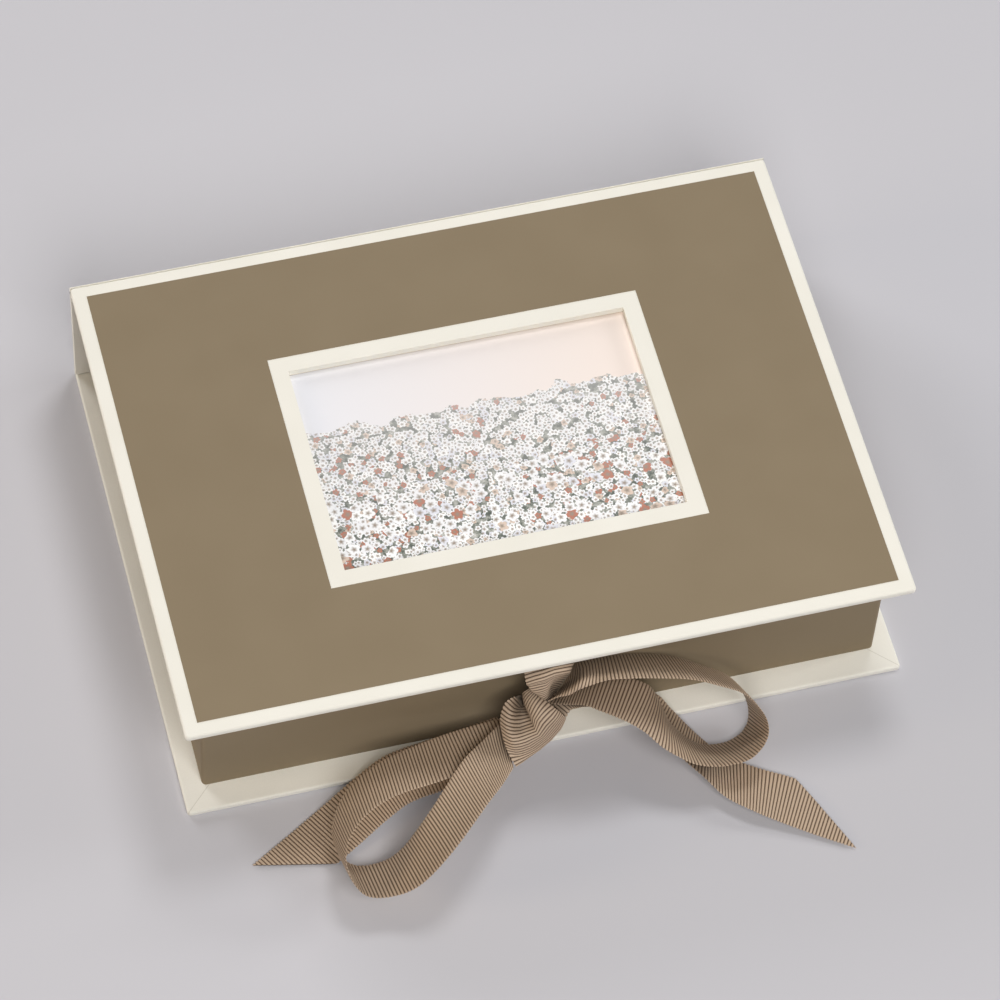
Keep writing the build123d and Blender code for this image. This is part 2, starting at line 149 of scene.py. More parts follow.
# round softboxes on all sides of the box: each one's place and width in metres, power and colour
lamps = {
    "front": {"place": (-0.04, -1.16, 1.24), "size": 1.0, "watts": 17.4, "colour": "#FFFDFB"},
    "right": {"place": (1.6, 0.0, 0.58), "size": 0.4, "watts": 8.4, "colour": "#FFFEFC"},
    "back": {"place": (-0.8, 1.38, 0.58), "size": 0.8, "watts": 12.8, "colour": "#FFFEFF"},
    "left": {"place": (-1.6, 0.0, 0.58), "size": 0.5, "watts": 4.5, "colour": "#FFE6C2"},
    "above": {"place": (0.39, 0.63, 1.53), "size": 0.5, "watts": 7.1, "colour": "#FFFFFF"},
}
lampAim = Vector((0, 0, 0.03))
for name, lamp in lamps.items():
    data = bpy.data.lights.new(name, "AREA")
    data.shape = "DISK"
    data.size = lamp["size"]
    data.energy = lamp["watts"]
    data.color = linear(lamp["colour"])[:3]
    place = Vector(lamp["place"])
    made = bpy.data.objects.new(name, data)
    made.location = place
    made.rotation_euler = (lampAim - place).to_track_quat("-Z", "Y").to_euler()
    bpy.context.scene.collection.objects.link(made)

studio = {"colour": "#F4F6FA", "strength": 0.08}
world = bpy.data.worlds.new("studio")
bpy.context.scene.world = world
world.use_nodes = True
background = world.node_tree.nodes["Background"]
background.inputs["Color"].default_value = linear(studio["colour"])
background.inputs["Strength"].default_value = studio["strength"]
bpy.context.scene.view_settings.view_transform = "Standard"
print("camera, floor and lamps set")


# papers and boards: fibreMm and cloudMm are the sizes of the fibres' felt and of the slow change of
# tone, and tooth is the share of toothMm by which the felt is raised

toothMm = 0.05
toneSpread = 0.3               # how far the two noises' sum swings round its mean of 1
creamPaper = {"light": "#F6F3E9", "dark": "#F0EDE2", "roughness": 0.7, "specular": 0.25,
              "fibreMm": 0.35, "cloudMm": 24, "tooth": 0.25}
taupePaper = {"light": "#8F8068", "dark": "#8A7B63", "roughness": 0.72, "specular": 0.25,
              "fibreMm": 0.3, "cloudMm": 30, "tooth": 0.2}
liningPaper = {"light": "#D7C9B2", "dark": "#D4C6AF", "roughness": 0.8, "specular": 0.2,
               "fibreMm": 0.4, "cloudMm": 20, "tooth": 0.3}
greyBoard = {"light": "#9C958B", "dark": "#837C72", "roughness": 0.95, "specular": 0.1,
             "fibreMm": 0.6, "cloudMm": 8, "tooth": 0.8}
paleCard = {"light": "#DBD4C4", "dark": "#D6CFBE", "roughness": 0.85, "specular": 0.15,
            "fibreMm": 0.4, "cloudMm": 15, "tooth": 0.4}


def paperMaterial(name, paper):
    # uncoated wood-free paper, pressed on a board: matte, with a fine felt of fibres that shows
    # as a faint tooth and a barely uneven tone
    material, tree, shader = blankMaterial(name, Roughness=paper["roughness"])
    where = addNode(tree, "ShaderNodeTexCoord").outputs["Object"]
    fibres = addNode(tree, "ShaderNodeTexNoise", {
        "Vector": where, "Scale": 1 / (paper["fibreMm"] * mm), "Detail": 4.0, "Roughness": 0.6})
    cloud = addNode(tree, "ShaderNodeTexNoise", {
        "Vector": where, "Scale": 1 / (paper["cloudMm"] * mm), "Detail": 2.0})
    both = addNode(tree, "ShaderNodeMath", {0: fibres, 1: cloud}, operation="ADD")
    tone = addNode(tree, "ShaderNodeMapRange", {
        "Value": both, "From Min": 1 - toneSpread, "From Max": 1 + toneSpread})
    ramp = addNode(tree, "ShaderNodeValToRGB", {"Fac": tone})
    colourSteps(ramp, [(0.0, paper["dark"]), (1.0, paper["light"])])
    tree.links.new(ramp.outputs["Color"], shader.inputs["Base Color"])
    bump = addNode(tree, "ShaderNodeBump", {
        "Height": fibres, "Strength": paper["tooth"], "Distance": toothMm * mm})
    tree.links.new(bump.outputs[0], shader.inputs["Normal"])
    shader.inputs["Specular IOR Level"].default_value = paper["specular"]
    return material


cream = paperMaterial("cream_uncoated_paper", creamPaper)

# the base's cover paper is folded over its board, so a mitred crease crosses the ledge at each
# front corner, where both edges are as far away: |X| + Y = offsetMm
foldedCream = cream.copy()
foldedCream.name = "cream_paper_turned_in"
crease = {"offsetMm": 132.5 - 97.5, "halfWidthMm": 0.22, "colour": "#B9B3A2", "share": 0.38}
tree = foldedCream.node_tree
shader = tree.nodes["Principled BSDF"]
smooth = shader.inputs["Base Color"].links[0].from_socket
objectPlace = addNode(tree, "ShaderNodeTexCoord").outputs["Object"]
where = addNode(tree, "ShaderNodeSeparateXYZ", {0: objectPlace})
aside = addNode(tree, "ShaderNodeMath", {0: where.outputs["X"]}, operation="ABSOLUTE")
along = addNode(tree, "ShaderNodeMath", {0: aside, 1: where.outputs["Y"]}, operation="ADD")
onFold = addNode(tree, "ShaderNodeMath", {
    0: along, 1: crease["offsetMm"] * mm, 2: crease["halfWidthMm"] * mm}, operation="COMPARE")
share = addNode(tree, "ShaderNodeMath", {0: onFold, 1: crease["share"]}, operation="MULTIPLY")
lined = addNode(tree, "ShaderNodeMix", {
    0: share, 6: smooth, 7: linear(crease["colour"])}, data_type="RGBA")
tree.links.new(lined.outputs[2], shader.inputs["Base Color"])

taupe = paperMaterial("taupe_uncoated_paper", taupePaper)
lining = paperMaterial("tan_lining_paper", liningPaper)
board = paperMaterial("grey_pulp_board", greyBoard)
card = paperMaterial("pale_card", paleCard)

dress(["lid_cover_paper", "spine_cover_paper", "spine_lining", "base_hinge_strip",
       "lid_hinge_strip"], cream)
dress(["base_cover_paper"], foldedCream)
dress(["lid_panel", "tray_wrap"], taupe)
dress(["lid_lining", "tray_lining"], lining)
dress(["lid_board", "spine_board", "base_board", "tray_bottom", "tray_front_wall",
       "tray_back_wall", "tray_left_wall", "tray_right_wall", "pocket_spacer"], board)
dress(["pocket_backing"], card)
print("papers and boards dressed")


# the print: a bank of white and rust blossom over dark leaves, under a pale evening sky

printed = {
    "roughness": 0.35,
    "tinyFlowerMm": 2.08, "smallFlowerMm": 2.6, "largeFlowerMm": 4.4,
    "tinyShare": 0.8, "smallShare": 0.75, "largeShare": 0.5,     # how many cells hold a flower
    "petalCount": 5, "fullTurn": 6.28,       # in radians, by which the flowers are turned at random
    "petalOut": 1.05, "petalIn": 0.9,        # where a petal's soft edge ends and begins
    "waistRim": 0.36, "petalRim": 0.2,       # a flower's rim between petals, and a petal's reach
    "innerHeart": 0.12, "outerHeart": 0.6,   # where the shaded heart begins and ends
    "swayMm": 5, "swayByMm": 1.6,            # size and reach of the waves that bend the flowers
    "leafMm": 2.6,
    "edgeMm": 14,                            # size of the waves along the banks' top edges
    "bankTopMm": 17, "bankRiseMm": 9,        # mean height of the bank's top edge, and its waves
    "nearTopMm": -12, "nearRiseMm": 10,      # the same for the larger flowers in front
    "hazeFromMm": -30, "hazeToMm": 22, "hazeShare": 0.35,
    "skyHalfWidthMm": 60,
    "skyLeft": "#EDEDF2", "skyRight": "#F3E4DA", "haze": "#E9E6E6", "heart": "#8F7F6E",
    "petals": [(0.0, "#F4F4F6"), (0.5, "#FFFFFF"), (0.72, "#E4E5EE"), (0.84, "#B4694B"),
               (0.92, "#D9C3B2")],
    "leaves": [(0.3, "#1E2620"), (0.45, "#4A5446"), (0.56, "#9A9C92"), (0.7, "#D8D6D2")],
}
printMaterial, tree, shader = blankMaterial("glossy_photo_print", Roughness=printed["roughness"])
where = addNode(tree, "ShaderNodeTexCoord").outputs["Object"]
apart = addNode(tree, "ShaderNodeSeparateXYZ", {0: where})
across = apart.outputs["X"]
up = apart.outputs["Y"]
flat = addNode(tree, "ShaderNodeCombineXYZ", {"X": across, "Y": up}).outputs[0]
sway = addNode(tree, "ShaderNodeTexNoise", {
    "Vector": flat, "Scale": 1 / (printed["swayMm"] * mm), "Detail": 3.0})
swayBy = addNode(tree, "ShaderNodeVectorMath", {
    0: sway.outputs["Color"], "Scale": printed["swayByMm"] * mm}, operation="SCALE")
bent = addNode(tree, "ShaderNodeVectorMath", {0: flat, 1: swayBy}, operation="ADD").outputs[0]


def flowersOver(below, sizeMm, grownShare):
    # one flower in each Voronoi cell, its rim waistRim + petalRim |cos(petalCount / 2 x angle)| cell
    # sizes away from the cell's point; grownShare leaves some cells empty
    cells = addNode(tree, "ShaderNodeTexVoronoi", {
        "Vector": bent, "Scale": 1 / (sizeMm * mm), "Randomness": 0.9},
        voronoi_dimensions="2D", feature="F1")
    chance = addNode(tree, "ShaderNodeSeparateColor", {0: cells.outputs["Color"]})
    fromHeart = addNode(tree, "ShaderNodeVectorMath", {
        0: bent, 1: cells.outputs["Position"]}, operation="SUBTRACT")
    parts = addNode(tree, "ShaderNodeSeparateXYZ", {0: fromHeart})
    angle = addNode(tree, "ShaderNodeMath", {
        0: parts.outputs["Y"], 1: parts.outputs["X"]}, operation="ARCTAN2")
    turned = addNode(tree, "ShaderNodeMath", {
        0: chance.outputs["Blue"], 1: printed["fullTurn"], 2: angle}, operation="MULTIPLY_ADD")
    spread = addNode(tree, "ShaderNodeMath", {
        0: turned, 1: printed["petalCount"] / 2}, operation="MULTIPLY")
    wave = addNode(tree, "ShaderNodeMath", {0: spread}, operation="COSINE")
    lobe = addNode(tree, "ShaderNodeMath", {0: wave}, operation="ABSOLUTE")
    rim = addNode(tree, "ShaderNodeMath", {
        0: lobe, 1: printed["petalRim"], 2: printed["waistRim"]}, operation="MULTIPLY_ADD")
    reach = addNode(tree, "ShaderNodeMath", {
        0: cells.outputs["Distance"], 1: rim}, operation="DIVIDE")
    petal = addNode(tree, "ShaderNodeMapRange", {
        "Value": reach, "From Min": printed["petalOut"], "From Max": printed["petalIn"]})
    grown = addNode(tree, "ShaderNodeMath", {
        0: chance.outputs["Red"], 1: grownShare}, operation="LESS_THAN")
    shown = addNode(tree, "ShaderNodeMath", {0: petal, 1: grown}, operation="MULTIPLY")
    tint = addNode(tree, "ShaderNodeValToRGB", {"Fac": chance.outputs["Green"]})
    colourSteps(tint, printed["petals"], "CONSTANT")
    heart = addNode(tree, "ShaderNodeMapRange", {
        "Value": reach, "From Min": printed["innerHeart"], "From Max": printed["outerHeart"]})
    shaded = addNode(tree, "ShaderNodeMix", {
        0: heart, 6: linear(printed["heart"]), 7: tint}, data_type="RGBA")
    over = addNode(tree, "ShaderNodeMix", {
        0: shown, 6: below, 7: shaded.outputs[2]}, data_type="RGBA")
    return over.outputs[2]


leafNoise = addNode(tree, "ShaderNodeTexNoise", {
    "Vector": flat, "Scale": 1 / (printed["leafMm"] * mm), "Detail": 5.0, "Roughness": 0.7})
leaves = addNode(tree, "ShaderNodeValToRGB", {"Fac": leafNoise})
colourSteps(leaves, printed["leaves"])
tinyFlowers = flowersOver(leaves.outputs[0], printed["tinyFlowerMm"], printed["tinyShare"])
farBank = flowersOver(tinyFlowers, printed["smallFlowerMm"], printed["smallShare"])
nearBank = flowersOver(farBank, printed["largeFlowerMm"], printed["largeShare"])
edge = addNode(tree, "ShaderNodeTexNoise", {
    "Vector": flat, "Scale": 1 / (printed["edgeMm"] * mm), "Detail": 6.0, "Roughness": 0.6})
nearTop = addNode(tree, "ShaderNodeMath", {
    0: edge, 1: 2 * printed["nearRiseMm"] * mm,
    2: (printed["nearTopMm"] - printed["nearRiseMm"]) * mm}, operation="MULTIPLY_ADD")
isNear = addNode(tree, "ShaderNodeMath", {0: up, 1: nearTop}, operation="LESS_THAN")
bank = addNode(tree, "ShaderNodeMix", {0: isNear, 6: farBank, 7: nearBank}, data_type="RGBA")
haze = addNode(tree, "ShaderNodeMapRange", {
    "Value": up, "From Min": printed["hazeFromMm"] * mm, "From Max": printed["hazeToMm"] * mm,
    "To Max": printed["hazeShare"]})
hazy = addNode(tree, "ShaderNodeMix", {
    0: haze, 6: bank.outputs[2], 7: linear(printed["haze"])}, data_type="RGBA")
skyAcross = addNode(tree, "ShaderNodeMapRange", {
    "Value": across, "From Min": -printed["skyHalfWidthMm"] * mm,
    "From Max": printed["skyHalfWidthMm"] * mm})
sky = addNode(tree, "ShaderNodeMix", {
    0: skyAcross, 6: linear(printed["skyLeft"]), 7: linear(printed["skyRight"])}, data_type="RGBA")
bankTop = addNode(tree, "ShaderNodeMath", {
    0: edge, 1: 2 * printed["bankRiseMm"] * mm,
    2: (printed["bankTopMm"] - printed["bankRiseMm"]) * mm}, operation="MULTIPLY_ADD")
isSky = addNode(tree, "ShaderNodeMath", {0: up, 1: bankTop}, operation="GREATER_THAN")
picture = addNode(tree, "ShaderNodeMix", {
    0: isSky, 6: hazy.outputs[2], 7: sky.outputs[2]}, data_type="RGBA")
tree.links.new(picture.outputs[2], shader.inputs["Base Color"])
dress(["photo_print"], printMaterial)
print("print dressed")


# the ribbon

ribbon = {
    "widthMm": 20.0,
    "ribMm": 1.3,              # from one rib to the next
    "stepsPerRib": 8,
    "bodyMm": 0.10,            # half the thickness in a groove
    "reliefMm": 0.24,          # how far a rib stands out of the groove on each face
    "picotMm": 0.5,            # how far a rib's end stands out of the selvedge
    "selvedgeShare": 0.45,     # the selvedge's thickness, as a share of the cloth's
    "selvedgeTaper": 12,       # the cloth has its full thickness 1 / 12 of the half width inside
    "sidePower": 0.55,         # under 1, the rings of points bunch at the selvedges
    "facePower": 0.35,         # under 1, the faces are flat and the selvedges blunt
    "stepsAcross": 18,         # points on each face; four more turn round the selvedges
    "drawnPerRow": 60,         # places at which the smooth sheet is drawn, for each row given
    "restMm": 0.05,            # no lower than this over the floor
    # painted shade and highlight on the ribs: the groove colour is painted shade, the crest colour a
    # painted highlight, the flank the ribbon's own brown
    "paintedRibShade": [(0.15, "#33271D"), (0.6, "#8E7762"), (0.97, "#C8B199")],    # groove, flank, crest
    "roughness": 0.6, "specular": 0.35,
    "yarnScale": 2.2, "yarnShare": 0.22,      # patches a mm of the uneven yarns, and their share
    "threadScale": 0.55, "threadMm": 0.05,    # warp threads across the cloth, and their height
    "threadWave": 0.6, "threadTooth": 0.25,   # how unevenly they run, and how strongly they show
    # painted shade in folds: how near cloth must be to darken the cloth's colour, down to what
    # share, and the openness that is darkest and that is undarkened
    "foldShadeMm": 9, "foldShade": 0.45,      # how near cloth darkens cloth, and down to what share
    "foldShut": 0.15, "foldOpen": 0.85,       # the openness that is darkest, and that is undarkened
    "sheen": 0.25, "sheenRoughness": 0.4, "sheenTint": "#D9C8B4",
}
caseFront = -97.5

# polyester grosgrain: fine warp yarns packed over thick weft cords, so the cloth rises in ribs;
# painted shade darkens the grooves between them and a painted highlight lightens each rib's crest,
# and the whole has the soft gleam of satin yarn
grosgrain, tree, shader = blankMaterial("polyester_grosgrain", Roughness=ribbon["roughness"])
ribHeight = addNode(tree, "ShaderNodeAttribute", attribute_name="ribHeight")
clothPlace = addNode(tree, "ShaderNodeAttribute", attribute_name="clothPlace")
yarns = addNode(tree, "ShaderNodeTexNoise", {
    "Vector": clothPlace.outputs["Vector"], "Scale": ribbon["yarnScale"], "Detail": 2.0})
uneven = addNode(tree, "ShaderNodeMath", {
    0: yarns, 1: ribbon["yarnShare"], 2: -ribbon["yarnShare"] / 2}, operation="MULTIPLY_ADD")
height = addNode(tree, "ShaderNodeMath", {
    0: ribHeight.outputs["Fac"], 1: uneven}, operation="ADD")
# painted rib shading: the colour follows each point's height on its rib, dark in the grooves and
# light on the crests
paintedRibShade = addNode(tree, "ShaderNodeValToRGB", {"Fac": height})
colourSteps(paintedRibShade, ribbon["paintedRibShade"])
# painted shade: the cloth's colour is darkened where cloth lies close to cloth, inside folds, pleats
# and the knot, by an ambient occlusion node in the base colour
closeness = addNode(tree, "ShaderNodeAmbientOcclusion", {
    "Distance": ribbon["foldShadeMm"] * mm}, samples=12)
openness = addNode(tree, "ShaderNodeMapRange", {
    "Value": closeness.outputs["AO"], "From Min": ribbon["foldShut"],
    "From Max": ribbon["foldOpen"], "To Min": ribbon["foldShade"]})
shaded = addNode(tree, "ShaderNodeVectorMath", {
    0: paintedRibShade, "Scale": openness.outputs[0]}, operation="SCALE")
tree.links.new(shaded.outputs[0], shader.inputs["Base Color"])
threads = addNode(tree, "ShaderNodeTexWave", {
    "Vector": clothPlace.outputs["Vector"], "Scale": ribbon["threadScale"],
    "Distortion": ribbon["threadWave"]},
    wave_type="BANDS", bands_direction="X")
bump = addNode(tree, "ShaderNodeBump", {
    "Height": threads.outputs["Fac"], "Strength": ribbon["threadTooth"],
    "Distance": ribbon["threadMm"] * mm})
tree.links.new(bump.outputs[0], shader.inputs["Normal"])
shader.inputs["Sheen Weight"].default_value = ribbon["sheen"]
shader.inputs["Sheen Roughness"].default_value = ribbon["sheenRoughness"]
shader.inputs["Sheen Tint"].default_value = linear(ribbon["sheenTint"])
shader.inputs["Specular IOR Level"].default_value = ribbon["specular"]


def unit(vectors):
    return vectors / np.linalg.norm(vectors, axis=-1, keepdims=True)


def splineAt(values, at):
    # a Catmull-Rom curve through the rows of values, read at places given as row numbers
    low = np.clip(np.floor(at).astype(int), 0, len(values) - 2)
    part = (at - low).reshape(-1, *[1] * (values.ndim - 1))
    before, after = 2 * values[:1] - values[1:2], 2 * values[-1:] - values[-2:-1]
    padded = np.concatenate([before, values, after])
    a, b, c, d = padded[low], padded[low + 1], padded[low + 2], padded[low + 3]
    return 0.5 * (2 * b + (c - a) * part + (2 * a - 5 * b + 4 * c - d) * part ** 2
                  + (3 * b - a - 3 * c + d) * part ** 3)


def routeGrid(route):
    # a run of flat ribbon as rows of seven points, from stations that give its middle, the turn
    # and the dip of its width, and how far its middle bulges, in mm
    stations = np.array(route, float)
    ahead = caseFront - stations[:, 1]
    middle = np.stack([stations[:, 0], ahead, stations[:, 2]], axis=1)
    turn, dip = np.radians(stations[:, 3]), np.radians(stations[:, 4])
    across = np.stack([-np.sin(turn) * np.cos(dip), np.cos(turn) * np.cos(dip), -np.sin(dip)],
                      axis=1)
    outward = unit(np.cross(unit(np.gradient(middle, axis=0)), across))
    side = np.linspace(-1, 1, 7)
    return (middle[:, None] + across[:, None] * (side * ribbon["widthMm"] / 2)[:, None]
            + outward[:, None] * (stations[:, 5:6] * (1 - side ** 2))[:, :, None])


# the knot is drawn on a slanting plane through its middle, in mm right, up and out
slant = {
    "middle": np.array([-8.0, -104.5, 29.0]),
    "right": np.array([0.967, -0.251, 0.039]),
    "up": np.array([0.191, 0.821, 0.539]),
    "out": np.array([-0.168, -0.513, 0.842]),
}


def slantGrid(rows):
    drawn = np.array(rows, float)
    return (slant["middle"] + drawn[..., 0:1] * slant["right"] + drawn[..., 1:2] * slant["up"]
            + drawn[..., 2:3] * slant["out"])


def grosgrainPiece(name, grid):
    # a length of grosgrain over a grid of points, rows along the run and seven points across it.
    # The cloth's half thickness is set out from the smooth sheet on both faces. It swells and
    # sinks once in each rib, as the root of |cos(pi run / rib)|. The selvedges are thinner, and
    # the ribs' ends stand out of them.
    dense = splineAt(grid, np.linspace(0, len(grid) - 1, ribbon["drawnPerRow"] * len(grid)))
    steps = np.linalg.norm(np.diff(dense, axis=0), axis=2).mean(axis=1)
    run = np.concatenate([[0], np.cumsum(steps)])
    along = np.arange(0, run[-1], ribbon["ribMm"] / ribbon["stepsPerRib"])
    rows = np.interp(along, run, np.arange(len(run)))
    even = splineAt(dense, rows)

    # one ring of points round the cloth: side is -1 to 1 across it, face is 1 on the upper face
    angle = np.linspace(0, 2 * np.pi, 2 * ribbon["stepsAcross"] + 4, endpoint=False)
    side = np.sign(np.cos(angle)) * np.abs(np.cos(angle)) ** ribbon["sidePower"]
    face = np.sign(np.sin(angle)) * np.abs(np.sin(angle)) ** ribbon["facePower"]
    columns = np.swapaxes(even, 0, 1)
    place = (side + 1) / 2 * (len(columns) - 1)
    sheet = np.swapaxes(splineAt(columns, place), 0, 1)
    nudge = 0.05
    slope = splineAt(columns, place + nudge) - splineAt(columns, place - nudge)
    wide = unit(np.swapaxes(slope, 0, 1))
    outward = unit(np.cross(np.gradient(sheet, axis=0), wide))

    rib = np.sqrt(np.abs(np.cos(np.pi * along[:, None] / ribbon["ribMm"]))) + 0 * side
    inner = np.clip((1 - np.abs(side)) * ribbon["selvedgeTaper"], 0, 1)
    taper = ribbon["selvedgeShare"] + (1 - ribbon["selvedgeShare"]) * inner
    thick = (ribbon["bodyMm"] + ribbon["reliefMm"] * rib) * taper * face
    picot = ribbon["picotMm"] * (rib - 0.5) * (1 - inner) * np.sign(side)
    points = sheet + outward * thick[:, :, None] + wide * picot[:, :, None]
    points[:, :, 2] = np.maximum(points[:, :, 2], ribbon["restMm"])
    made = gridMesh(name, points * mm)

    # what the cloth's material reads: each point's height on its rib, and its place on the flat
    # ribbon in mm
    height = made.data.attributes.new("ribHeight", "FLOAT", "POINT")
    height.data.foreach_set("value", rib.astype(np.float32).ravel())
    cloth = made.data.attributes.new("clothPlace", "FLOAT_VECTOR", "POINT")
    crosswise = side * ribbon["widthMm"] / 2 + 0 * rib
    clothPlace = np.stack([crosswise, along[:, None] + 0 * rib, 0 * rib], axis=-1)
    cloth.data.foreach_set("vector", clothPlace.astype(np.float32).ravel())
    made.data.materials.append(grosgrain)
    print(name, "is", round(run[-1]), "mm long")
    return made, run[-1] * mm


# each station of a route: X, distance in front of the case, height, the turn of the width in the
# level plane, its dip and the crown in mm; each row of a grid on the slant plane: seven points
# across the ribbon, in mm right, up and out
leftLoopRoute = [
    (-16.8, 6.2, 20.4, 0, 12, 0),
    (-32.5, 8, 22, 5, 14, 0.3),
    (-47, 10, 22, 0, 15, 0.3),
    (-64, 14.5, 24.5, -2, 21, 0),
    (-77, 21, 23.5, 0, 25, 0),
    (-84.5, 29.5, 18.5, 2, 30, 0),
    (-85, 37, 13, 3, 30, 0),
    (-80.5, 43.5, 9.5, 2, 27, 0),
    (-71, 45.2, 9.3, 3, 24, 0),
    (-62, 45, 15, 8, 20, -0.4),
    (-50, 39, 25, 12, 14, -0.8),
    (-35.2, 25.5, 28.5, 12, 6, -1),
    (-26, 17.2, 26.2, 4, 4, -1),
    (-18.2, 9.7, 23.5, -6, 0, -0.8),
]
rightLoopRoute = [
    (19, -1.2, 43.2, -12, 35, 0.6),
    (27, -0.6, 42.5, -7, 34, 0.4),
    (37, 0.1, 40, -1, 33, 0.3),
    (47.5, 1.7, 37, 3, 34, 0),
    (57.5, 3.8, 31.3, 6, 35, 0),
    (66, 5.4, 25, 5, 37, 0),
    (71, 8.6, 18.9, 5, 38, 0),
    (73.5, 12, 13.5, 7, 39, 0),
    (73, 16.3, 9.9, 8, 41, 0),
    (69.2, 21, 9.8, 9, 41, 0),
    (63.2, 23.8, 9.4, 12, 38, 0),
    (55.7, 23.8, 9.4, 11, 35, 0),
    (50.2, 22.7, 10.6, 6, 31, 0),
    (45.1, 20.7, 13.2, -2, 26, 0),
    (40, 17.6, 17.4, -10, 23, -0.5),
    (37, 14, 20.3, -19, 18, -1),
    (34, 10, 23.5, -29, 18, -1),
    (30.3, 6.8, 26.9, -34, 12, -0.8),
    (24.3, 3.3, 28.6, -31, 14, -0.5),
    (18.8, 0.1, 28.7, -30, 19, -0.5),
]
# from the knot the cloth opens out of a pleat, which lies dark at the back
rightLoopStart = [
    [(3.5, 7.8, 6), (4.2, 8, 5.6), (5, 8.4, 4.6), (5.8, 9, 3.4),
     (6.5, 9.5, 2.2), (7.2, 10, 1), (8, 10.5, 0)],
    [(8, 9.6, 8), (8.5, 10.3, 8), (9, 11.2, 6.6), (9.8, 12.2, 4),
     (10.5, 13.5, 1.5), (11, 15, 0), (11.5, 16.5, -1.5)],
    [(12, 10.6, 10.5), (12.5, 12, 11), (13, 13.5, 9.6), (13.5, 15, 6.6),
     (14, 17, 3), (14, 18.8, 0), (14, 20.3, -2.5)],
    [(16, 12.8, 12.2), (16.5, 14.5, 12.4), (17, 16.2, 11), (17, 17.8, 8),
     (17, 19.4, 4), (16.5, 20.8, -0.5), (16, 22, -4)],
]
# back into the knot, under the loop's start
rightLoopEnd = [
    [(17.6, 6.3, -0.5), (18.2, 8.1, -3.2), (18.9, 9.9, -6), (19.5, 11.6, -8.9),
     (20.1, 13.1, -11.8), (20.7, 14.5, -14.6), (21.3, 15.8, -17.3)],
    [(12.5, 6.7, 0.2), (13, 7.9, -2), (13.5, 9, -4), (14, 10, -6.2),
     (14.4, 10.9, -8.4), (14.8, 11.8, -10.5), (15.2, 12.6, -12.6)],
    [(8.3, 6.8, 1), (8.8, 7.5, -0.6), (9.2, 8.2, -2.2), (9.6, 8.8, -3.8),
     (9.9, 9.4, -5.4), (10.1, 10, -7), (10.3, 10.5, -8.5)],
    [(4.2, 7, 1), (4.5, 7.4, 0), (4.8, 7.7, -1.2), (5, 8, -2.3),
     (5.2, 8.3, -3.4), (5.4, 8.6, -4.5), (5.5, 8.8, -5.5)],
]
# out of the knot under the loop
rightTailStart = [
    [(7, -1, -5), (6, 0.2, -5), (5, 1.2, -5.5), (4, 2.2, -6),
     (3.3, 3.2, -6.5), (2.6, 4.2, -7), (2, 5, -7.5)],
    [(10.4, 1.8, -3.5), (9.2, 3, -3.6), (8.1, 4, -4), (7, 5, -4.6),
     (6, 6, -5.3), (5, 7, -6), (4, 8, -7)],
    [(13.7, 5.2, -4.5), (12.4, 6.2, -4.9), (11.2, 7.2, -5.6), (10.2, 8, -6.6),
     (9.4, 8.8, -7.8), (8.7, 9.5, -9), (8.2, 10, -10.4)],
]
leftTailRoute = [
    (-17.5, 4.3, 18.2, 5, 10, 0),
    (-29.5, 4.5, 13.5, 5, 2, 0.3),
    (-43.5, 4, 8, 8, -5, 0.3),
    (-57, 5, 5.5, 14, -5, 0),
    (-68, 9.5, 3.4, 22, -1, 0),
    (-79, 15.5, 1.6, 29, 1, 0),
    (-92, 23, 0.9, 30, 1, 0),
    (-118, 38, 0.7, 30, 0, 0),
]
rightTailRoute = [
    (20, -3, 16, -20, 50, 0),
    (29, -2, 14.5, -27, 40, 0),
    (36, 0.4, 13, -35, 30, 0),
    (41, 7.2, 10.5, -33, 30, 0.3),
    (46.8, 15, 6.4, -28, 27, 0.3),
    (51.8, 21.6, 4.3, -20, 22, 0),
    (57, 29.5, 3.5, -14, 13, 0.3),
    (66, 37, 3.4, -19, 10, 0.5),
    (76, 43.2, 2.3, -28, 6, 0.5),
    (88, 50.8, 1.3, -32, 3, 0.2),
    (104, 60.9, 0.8, -32, 0, 0),
]
